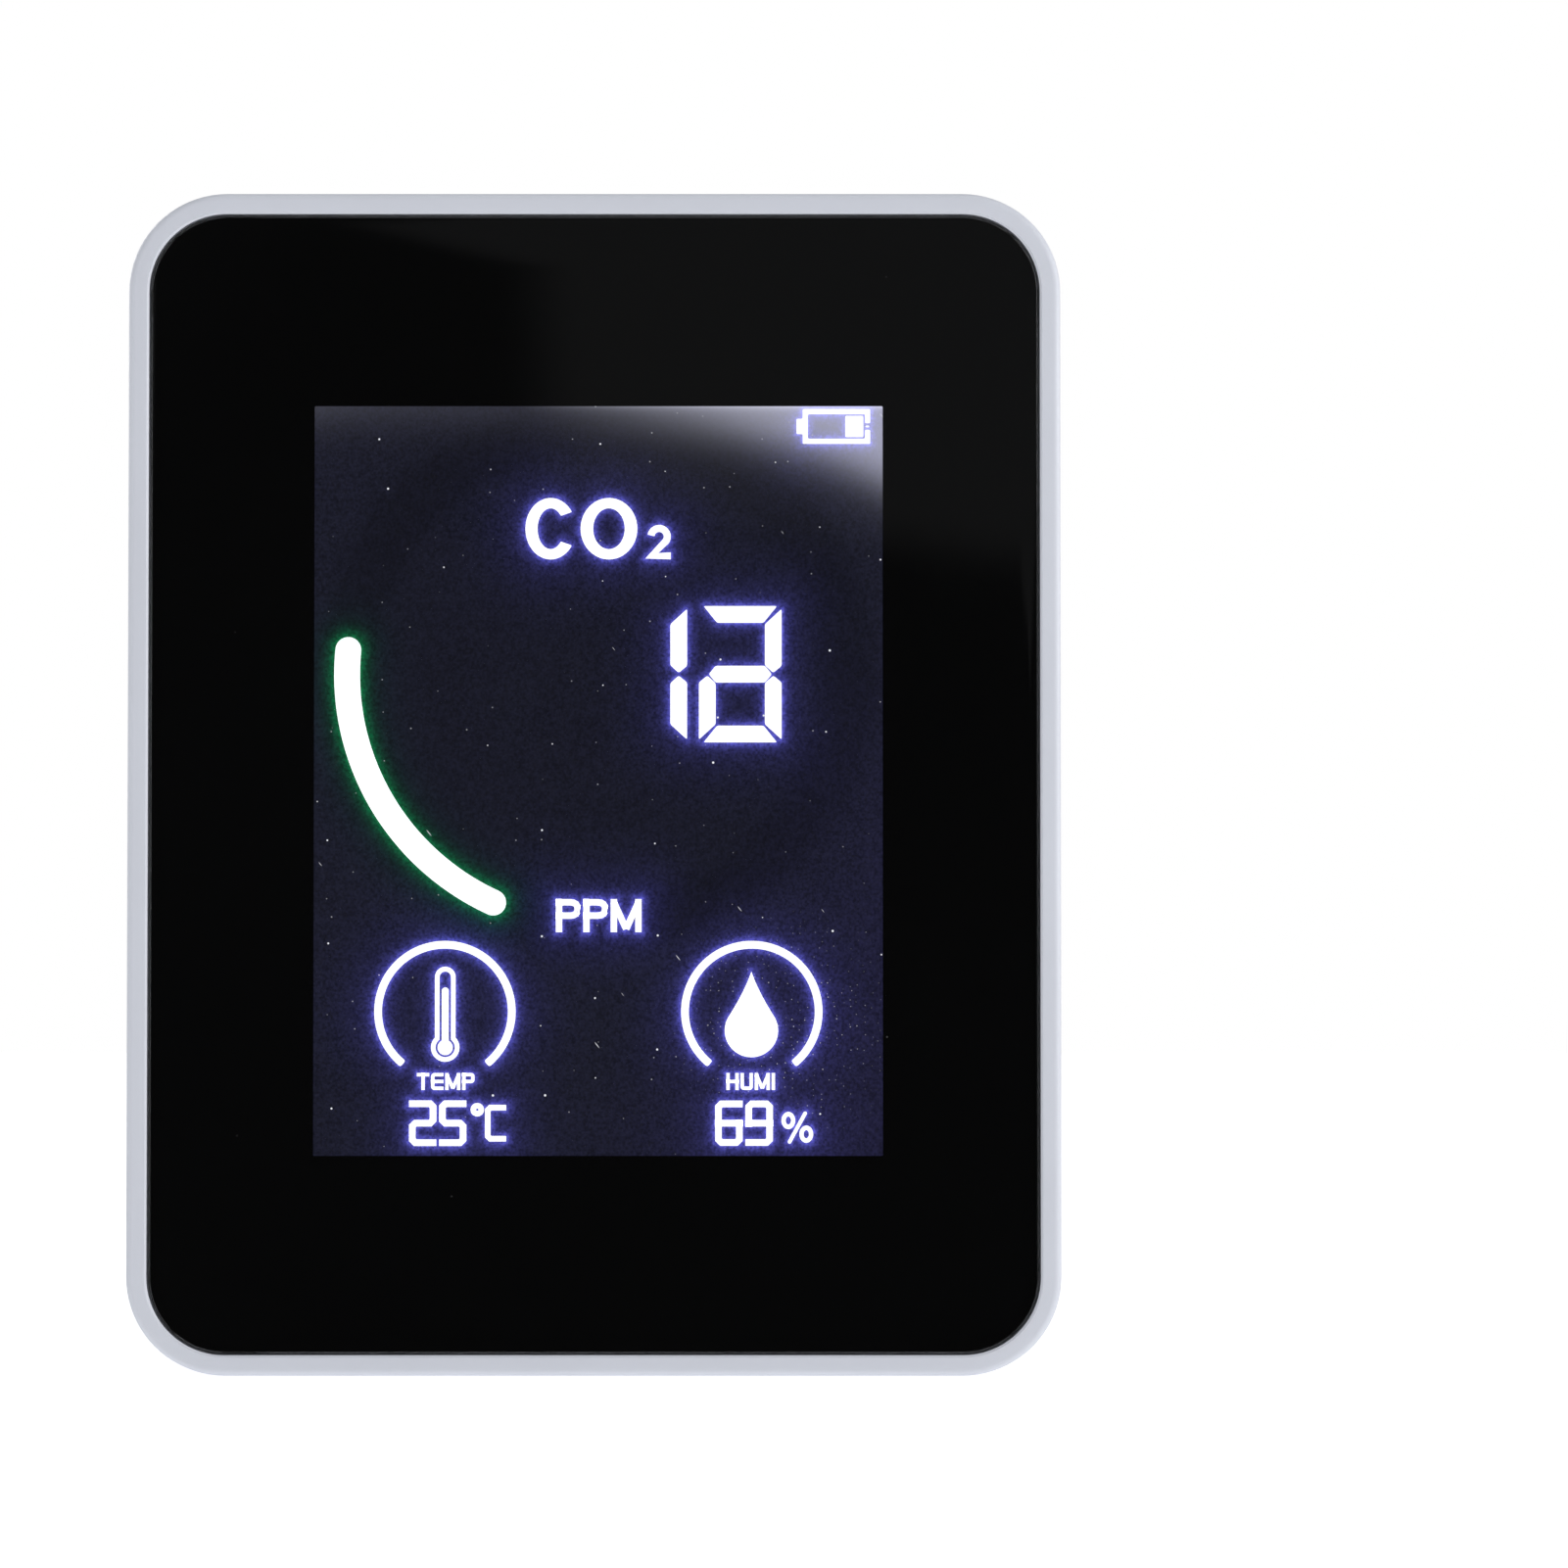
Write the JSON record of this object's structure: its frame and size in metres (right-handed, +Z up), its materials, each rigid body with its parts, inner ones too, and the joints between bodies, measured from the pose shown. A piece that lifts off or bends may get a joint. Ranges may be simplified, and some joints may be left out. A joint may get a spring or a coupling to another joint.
{
  "type": "carbon dioxide monitor",
  "caption": "Desktop air monitor: a rounded upright case with a lit display behind a clear panel, a key on top, a charging port, rear vents and a fold-out stand.",
  "frame": {"origin": "middle of the underside, on the surface it stands on", "axes": "+Z up along the case, -Y the way the display faces, +X to the right of someone reading it"},
  "size_m": [0.09, 0.027, 0.1146],
  "materials": {
    "white_abs": "fine satin moulded",
    "clear_acrylic": "polished",
    "black_print": "gloss print",
    "foam_tape": "matte foam",
    "polariser": "smooth film",
    "display_glass": "polished",
    "diffuser": "milky film",
    "white_pbt": "matte",
    "polyimide": "smooth film",
    "green_board": "solder mask",
    "black_epoxy": "moulded",
    "ferrite": "matte",
    "nickel_steel": "nickel plated",
    "gold_plate": "plated",
    "key_plastic": "satin",
    "battery_pouch": "laminated foil",
    "red_sleeve": "smooth",
    "black_sleeve": "smooth",
    "vent_fabric": "fine mesh",
    "white_membrane": "matte filter",
    "black_rubber": "matte"
  },
  "bodies": {
    "case": {"front_frame": "white_abs", "front_lens": "clear_acrylic", "lens_mask": "black_print", "lens_tape": "foam_tape", "front_polariser": "polariser", "lcd_front_glass": "display_glass", "lcd_rear_glass": "display_glass", "rear_polariser": "polariser", "diffuser_sheet": "diffuser", "light_guide": "clear_acrylic", "reflector_sheet": "diffuser", "backlight_tray": "white_pbt", "led_strip": "white_pbt", "display_ribbon": "polyimide", "main_board": "green_board", "mcu_chip": "black_epoxy", "lcd_driver_chip": "black_epoxy", "charger_chip": "black_epoxy", "power_inductor": "ferrite", "clock_crystal": "nickel_steel", "humidity_sensor": "black_epoxy", "buzzer": "black_epoxy", "gas_sensor_header": "black_epoxy", "gas_sensor_board": "green_board", "gas_sensor_chamber": "gold_plate", "gas_membrane_left": "white_membrane", "gas_membrane_right": "white_membrane", "usb_socket": "nickel_steel", "usb_tongue": "black_epoxy", "switch_body": "black_epoxy", "battery_pad": "foam_tape", "battery_pack": "battery_pouch", "battery_socket": "white_pbt", "battery_plug": "white_pbt", "battery_lead_positive": "red_sleeve", "battery_lead_negative": "black_sleeve", "rear_cover": "white_abs", "dust_mesh": "vent_fabric", "board_screw_1": "nickel_steel", "board_screw_2": "nickel_steel", "board_screw_3": "nickel_steel", "board_screw_4": "nickel_steel", "case_screw_1": "nickel_steel", "case_screw_2": "nickel_steel", "case_screw_3": "nickel_steel", "case_screw_4": "nickel_steel", "stand_pin": "nickel_steel"},
    "power_key": {"power_button": "key_plastic", "switch_plunger": "key_plastic"},
    "stand": {"rear_stand": "white_abs", "stand_pad_left": "black_rubber", "stand_pad_right": "black_rubber"}
  },
  "joints": [
    {"name": "button_press", "type": "slide", "parent": "case", "child": "power_key", "axis": [0, 0, -1], "range_m": [0, 0.0004], "stiffness_N_per_m": 4000, "springref_m": -0.0001},
    {"name": "stand_fold", "type": "hinge", "parent": "case", "child": "stand", "pos_m": [0, 0.01215, 0.0625], "axis": [1, 0, 0], "range_deg": [0, 30]}
  ]
}
